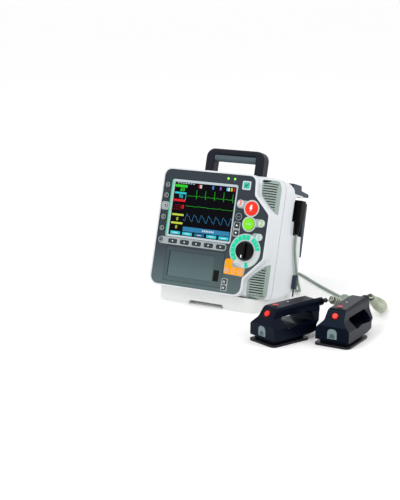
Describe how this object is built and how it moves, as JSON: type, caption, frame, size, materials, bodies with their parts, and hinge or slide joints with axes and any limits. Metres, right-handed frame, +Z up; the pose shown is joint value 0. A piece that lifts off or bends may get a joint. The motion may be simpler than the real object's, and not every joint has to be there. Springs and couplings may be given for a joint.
{
  "type": "defibrillator",
  "caption": "Portable monitor defibrillator: leaning case with screen, keys, mode knob, recorder and carrying handle, and two hand paddles on curly cords.",
  "frame": {"origin": "on the table at the middle of the monitor's base", "axes": "+X to the operator's right, -Y towards the operator, +Z up"},
  "size_m": [0.4522, 0.4699, 0.2781],
  "materials": {
    "base_white": "fine textured",
    "battery_case": "painted",
    "bezel_silver": "satin",
    "board_green": "lacquered",
    "button_red": "gloss",
    "capacitor_can": "drawn",
    "coil_sheath": "satin",
    "cradle_slate": "satin",
    "display_black": "display",
    "electrode_steel": "brushed",
    "foot_rubber": "matt",
    "grille_green_grey": "satin",
    "grip_slate": "satin",
    "handle_navy": "satin",
    "key_dark": "satin",
    "key_green": "satin",
    "key_orange": "satin",
    "key_red": "satin",
    "knob_black": "satin",
    "latch_black": "satin",
    "lens_clear": "clear",
    "module_slate": "satin",
    "paddle_black": "satin",
    "panel_slate": "satin",
    "paper_white": "paper",
    "plate_grey": "printed",
    "screen_glass": "anti-glare",
    "shell_white": "fine textured",
    "socket_black": "satin",
    "switch_grey": "moulded",
    "tab_grey": "satin",
    "trunk_sheath": "satin"
  },
  "bodies": {
    "monitor": {"base_tray": "base_white", "battery_pack": "battery_case", "cable_hook": "cradle_slate", "carry_handle": "handle_navy", "circuit_boards": "board_green", "control_plates": "plate_grey", "cord_splitter": "trunk_sheath", "display_module": "display_black", "front_panel": "panel_slate", "front_shell": "shell_white", "handle_grip": "grip_slate", "indicator_lenses": "lens_clear", "left_curly_cord": "coil_sheath", "mode_switch": "switch_grey", "paddle_plug": "socket_black", "paddle_socket": "socket_black", "printer_module": "module_slate", "rear_cradle": "cradle_slate", "rear_shell": "shell_white", "right_curly_cord": "coil_sheath", "rubber_feet": "foot_rubber", "screen_bezel": "bezel_silver", "screen_glass": "screen_glass", "side_grilles": "grille_green_grey", "speaker": "switch_grey", "storage_capacitor": "capacitor_can", "trunk_cord": "trunk_sheath"},
    "charge_key": {"charge_key": "key_green"},
    "door_latch": {"door_latch": "latch_black"},
    "energy_down_key": {"energy_down_key": "key_dark"},
    "energy_up_key": {"energy_up_key": "key_dark"},
    "feed_key": {"feed_key": "key_dark"},
    "lead_select_key": {"lead_select_key": "key_dark"},
    "mode_knob": {"mode_knob": "knob_black"},
    "pacer_key_1": {"pacer_key_1": "key_orange"},
    "pacer_key_2": {"pacer_key_2": "key_orange"},
    "pacer_key_3": {"pacer_key_3": "key_orange"},
    "paper_roll": {"paper_roll": "paper_white"},
    "print_key": {"print_key": "key_dark"},
    "printer_door": {"printer_door": "module_slate"},
    "shock_key": {"shock_key": "key_red"},
    "side_key_1": {"side_key_1": "key_dark"},
    "side_key_2": {"side_key_2": "key_dark"},
    "side_key_3": {"side_key_3": "key_dark"},
    "side_key_4": {"side_key_4": "key_dark"},
    "side_key_5": {"side_key_5": "key_dark"},
    "side_key_6": {"side_key_6": "key_dark"},
    "soft_key_1": {"soft_key_1": "key_dark"},
    "soft_key_2": {"soft_key_2": "key_dark"},
    "soft_key_3": {"soft_key_3": "key_dark"},
    "soft_key_4": {"soft_key_4": "key_dark"},
    "soft_key_5": {"soft_key_5": "key_dark"},
    "left_paddle": {"left_paddle_body": "paddle_black"},
    "left_shock_button": {"left_shock_button": "button_red"},
    "left_plate_latch": {"left_plate_latch": "tab_grey"},
    "left_electrode_plate": {"left_electrode_plate": "electrode_steel"},
    "right_paddle": {"right_paddle_body": "paddle_black"},
    "right_shock_button": {"right_shock_button": "button_red"},
    "right_plate_latch": {"right_plate_latch": "tab_grey"},
    "right_electrode_plate": {"right_electrode_plate": "electrode_steel"}
  },
  "joints": [
    {"name": "charge_key_press", "type": "slide", "parent": "monitor", "child": "charge_key", "axis": [0, 0.9613, -0.2756], "range_m": [0, 0.0015], "stiffness_N_per_m": 1500},
    {"name": "energy_down_key_press", "type": "slide", "parent": "monitor", "child": "energy_down_key", "axis": [0, 0.9613, -0.2756], "range_m": [0, 0.001], "stiffness_N_per_m": 1200},
    {"name": "energy_up_key_press", "type": "slide", "parent": "monitor", "child": "energy_up_key", "axis": [0, 0.9613, -0.2756], "range_m": [0, 0.001], "stiffness_N_per_m": 1200},
    {"name": "feed_key_press", "type": "slide", "parent": "monitor", "child": "feed_key", "axis": [0, 0.9613, -0.2756], "range_m": [0, 0.001], "stiffness_N_per_m": 1200},
    {"name": "lead_select_key_press", "type": "slide", "parent": "monitor", "child": "lead_select_key", "axis": [0, 0.9613, -0.2756], "range_m": [0, 0.001], "stiffness_N_per_m": 1200},
    {"name": "pacer_key_1_press", "type": "slide", "parent": "monitor", "child": "pacer_key_1", "axis": [0, 0.9613, -0.2756], "range_m": [0, 0.001], "stiffness_N_per_m": 1200},
    {"name": "pacer_key_2_press", "type": "slide", "parent": "monitor", "child": "pacer_key_2", "axis": [0, 0.9613, -0.2756], "range_m": [0, 0.001], "stiffness_N_per_m": 1200},
    {"name": "pacer_key_3_press", "type": "slide", "parent": "monitor", "child": "pacer_key_3", "axis": [0, 0.9613, -0.2756], "range_m": [0, 0.001], "stiffness_N_per_m": 1200},
    {"name": "print_key_press", "type": "slide", "parent": "monitor", "child": "print_key", "axis": [0, 0.9613, -0.2756], "range_m": [0, 0.001], "stiffness_N_per_m": 1200},
    {"name": "shock_key_press", "type": "slide", "parent": "monitor", "child": "shock_key", "axis": [0, 0.9613, -0.2756], "range_m": [0, 0.0015], "stiffness_N_per_m": 1500},
    {"name": "side_key_1_press", "type": "slide", "parent": "monitor", "child": "side_key_1", "axis": [0, 0.9613, -0.2756], "range_m": [0, 0.001], "stiffness_N_per_m": 1200},
    {"name": "side_key_2_press", "type": "slide", "parent": "monitor", "child": "side_key_2", "axis": [0, 0.9613, -0.2756], "range_m": [0, 0.001], "stiffness_N_per_m": 1200},
    {"name": "side_key_3_press", "type": "slide", "parent": "monitor", "child": "side_key_3", "axis": [0, 0.9613, -0.2756], "range_m": [0, 0.001], "stiffness_N_per_m": 1200},
    {"name": "side_key_4_press", "type": "slide", "parent": "monitor", "child": "side_key_4", "axis": [0, 0.9613, -0.2756], "range_m": [0, 0.001], "stiffness_N_per_m": 1200},
    {"name": "side_key_5_press", "type": "slide", "parent": "monitor", "child": "side_key_5", "axis": [0, 0.9613, -0.2756], "range_m": [0, 0.001], "stiffness_N_per_m": 1200},
    {"name": "side_key_6_press", "type": "slide", "parent": "monitor", "child": "side_key_6", "axis": [0, 0.9613, -0.2756], "range_m": [0, 0.001], "stiffness_N_per_m": 1200},
    {"name": "soft_key_1_press", "type": "slide", "parent": "monitor", "child": "soft_key_1", "axis": [0, 0.9613, -0.2756], "range_m": [0, 0.001], "stiffness_N_per_m": 1200},
    {"name": "soft_key_2_press", "type": "slide", "parent": "monitor", "child": "soft_key_2", "axis": [0, 0.9613, -0.2756], "range_m": [0, 0.001], "stiffness_N_per_m": 1200},
    {"name": "soft_key_3_press", "type": "slide", "parent": "monitor", "child": "soft_key_3", "axis": [0, 0.9613, -0.2756], "range_m": [0, 0.001], "stiffness_N_per_m": 1200},
    {"name": "soft_key_4_press", "type": "slide", "parent": "monitor", "child": "soft_key_4", "axis": [0, 0.9613, -0.2756], "range_m": [0, 0.001], "stiffness_N_per_m": 1200},
    {"name": "soft_key_5_press", "type": "slide", "parent": "monitor", "child": "soft_key_5", "axis": [0, 0.9613, -0.2756], "range_m": [0, 0.001], "stiffness_N_per_m": 1200},
    {"name": "mode_knob_turn", "type": "hinge", "parent": "monitor", "child": "mode_knob", "pos_m": [0.0758, -0.06672, 0.11256], "axis": [0, 0.9613, -0.2756], "range_deg": [-45, 270]},
    {"name": "printer_door_swing", "type": "hinge", "parent": "monitor", "child": "printer_door", "pos_m": [-0.0789, -0.07514, 0.07305], "axis": [0, -0.2756, -0.9613], "range_deg": [0, 90]},
    {"name": "door_latch_press", "type": "slide", "parent": "monitor", "child": "door_latch", "axis": [0, 0.9613, -0.2756], "range_m": [0, 0.002], "stiffness_N_per_m": 1500},
    {"name": "paper_roll_spin", "type": "hinge", "parent": "monitor", "child": "paper_roll", "pos_m": [-0.033, -0.05092, 0.06611], "axis": [1, 0, 0], "continuous": true},
    {"name": "left_paddle_lift", "type": "slide", "parent": "monitor", "child": "left_paddle", "axis": [0, 0, 1], "range_m": [0, 0.12]},
    {"name": "left_shock_button_press", "type": "slide", "parent": "left_paddle", "child": "left_shock_button", "axis": [0.2984, 0.7614, -0.5755], "range_m": [0, 0.002], "stiffness_N_per_m": 1200},
    {"name": "left_plate_latch_press", "type": "slide", "parent": "left_paddle", "child": "left_plate_latch", "axis": [0.3649, 0.9311, 0], "range_m": [0, 0.0015], "stiffness_N_per_m": 1500},
    {"name": "left_electrode_plate_slide", "type": "slide", "parent": "left_paddle", "child": "left_electrode_plate", "axis": [-0.3649, -0.9311, 0], "range_m": [0, 0.085]},
    {"name": "right_paddle_lift", "type": "slide", "parent": "monitor", "child": "right_paddle", "axis": [0, 0, 1], "range_m": [0, 0.12]},
    {"name": "right_shock_button_press", "type": "slide", "parent": "right_paddle", "child": "right_shock_button", "axis": [0.0043, 0.8178, -0.5755], "range_m": [0, 0.002], "stiffness_N_per_m": 1200},
    {"name": "right_plate_latch_press", "type": "slide", "parent": "right_paddle", "child": "right_plate_latch", "axis": [0.0052, 1, 0], "range_m": [0, 0.0015], "stiffness_N_per_m": 1500},
    {"name": "right_electrode_plate_slide", "type": "slide", "parent": "right_paddle", "child": "right_electrode_plate", "axis": [-0.0052, -1, 0], "range_m": [0, 0.085]}
  ]
}
